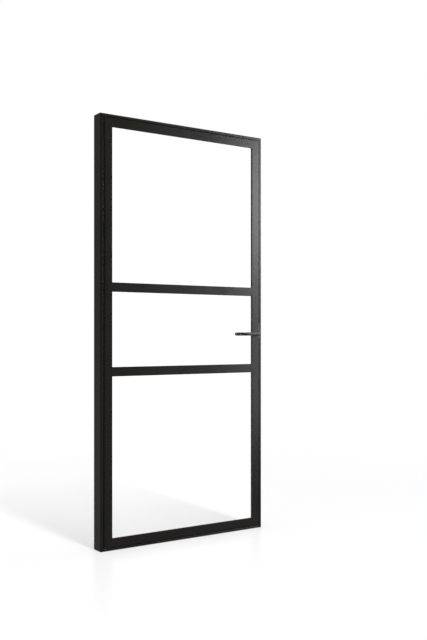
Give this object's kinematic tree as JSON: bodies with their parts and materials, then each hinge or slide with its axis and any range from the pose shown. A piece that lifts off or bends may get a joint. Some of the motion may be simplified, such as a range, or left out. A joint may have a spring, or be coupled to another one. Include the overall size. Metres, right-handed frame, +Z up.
{
  "type": "glass door",
  "caption": "Steel-framed glass door with two glazing bars, hung on pivots in a slim black frame, with a lever handle and a sprung latch.",
  "frame": {"origin": "on the floor, in the middle of the leaf's width and depth", "axes": "+Z up, +X from the pivots to the lock, front faces -Y"},
  "size_m": [0.966, 0.126, 2.115],
  "materials": {
    "powder_coated_steel": "satin black powder coat",
    "black_fittings": "satin black lacquer",
    "clear_glass": "clear, polished edges",
    "black_rubber": "matt",
    "black_plastic": "fine grain",
    "plain_steel": "zinc plated",
    "satin_steel": "satin stainless",
    "bearing_bronze": "turned"
  },
  "bodies": {
    "frame": {"hinge_jamb": "powder_coated_steel", "lock_jamb": "powder_coated_steel", "frame_head": "powder_coated_steel", "threshold": "powder_coated_steel", "head_stop": "powder_coated_steel", "lock_stop": "powder_coated_steel", "head_seal": "black_rubber", "lock_seal": "black_rubber", "strike_plate": "satin_steel", "strike_screws": "plain_steel", "bottom_pivot_pin": "plain_steel", "thrust_washer": "bearing_bronze", "top_pivot_bush": "bearing_bronze"},
    "leaf": {"hinge_stile": "powder_coated_steel", "lock_stile": "powder_coated_steel", "top_rail": "powder_coated_steel", "bottom_rail": "powder_coated_steel", "upper_bar": "powder_coated_steel", "lower_bar": "powder_coated_steel", "upper_glass": "clear_glass", "upper_front_gasket": "black_rubber", "upper_back_gasket": "black_rubber", "upper_beads": "powder_coated_steel", "middle_glass": "clear_glass", "middle_front_gasket": "black_rubber", "middle_back_gasket": "black_rubber", "middle_beads": "powder_coated_steel", "lower_glass": "clear_glass", "lower_front_gasket": "black_rubber", "lower_back_gasket": "black_rubber", "lower_beads": "powder_coated_steel", "setting_blocks": "black_plastic", "top_pivot_block": "plain_steel", "bottom_pivot_block": "plain_steel", "top_pivot_pin": "plain_steel", "lock_stile_caps": "black_plastic", "lock_case": "plain_steel", "lock_cover": "plain_steel", "forend": "satin_steel", "forend_screws": "plain_steel", "latch_spring": "plain_steel", "front_rose": "black_fittings", "back_rose": "black_fittings"},
    "lever": {"front_lever": "black_fittings", "back_lever": "black_fittings", "spindle": "plain_steel", "follower": "plain_steel", "grub_screws": "plain_steel"},
    "latch": {"latch_bolt": "satin_steel"}
  },
  "joints": [
    {"name": "leaf_swing", "type": "hinge", "parent": "frame", "child": "leaf", "pos_m": [-0.457, -0.008, 0.014], "axis": [0, 0, -1], "range_deg": [0, 100]},
    {"name": "lever_turn", "type": "hinge", "parent": "leaf", "child": "lever", "pos_m": [0.447, 0, 1.05], "axis": [0, -1, 0], "range_deg": [0, 45], "stiffness_Nm_per_rad": 0.8, "springref_deg": -34.38},
    {"name": "latch_slide", "type": "slide", "parent": "leaf", "child": "latch", "axis": [-1, 0, 0], "range_m": [0, 0.0107], "deforming": ["latch_spring"]}
  ],
  "couplings": [
    {"joint": "latch_slide", "follows": "lever_turn", "m_per_rad": 0.0135}
  ]
}
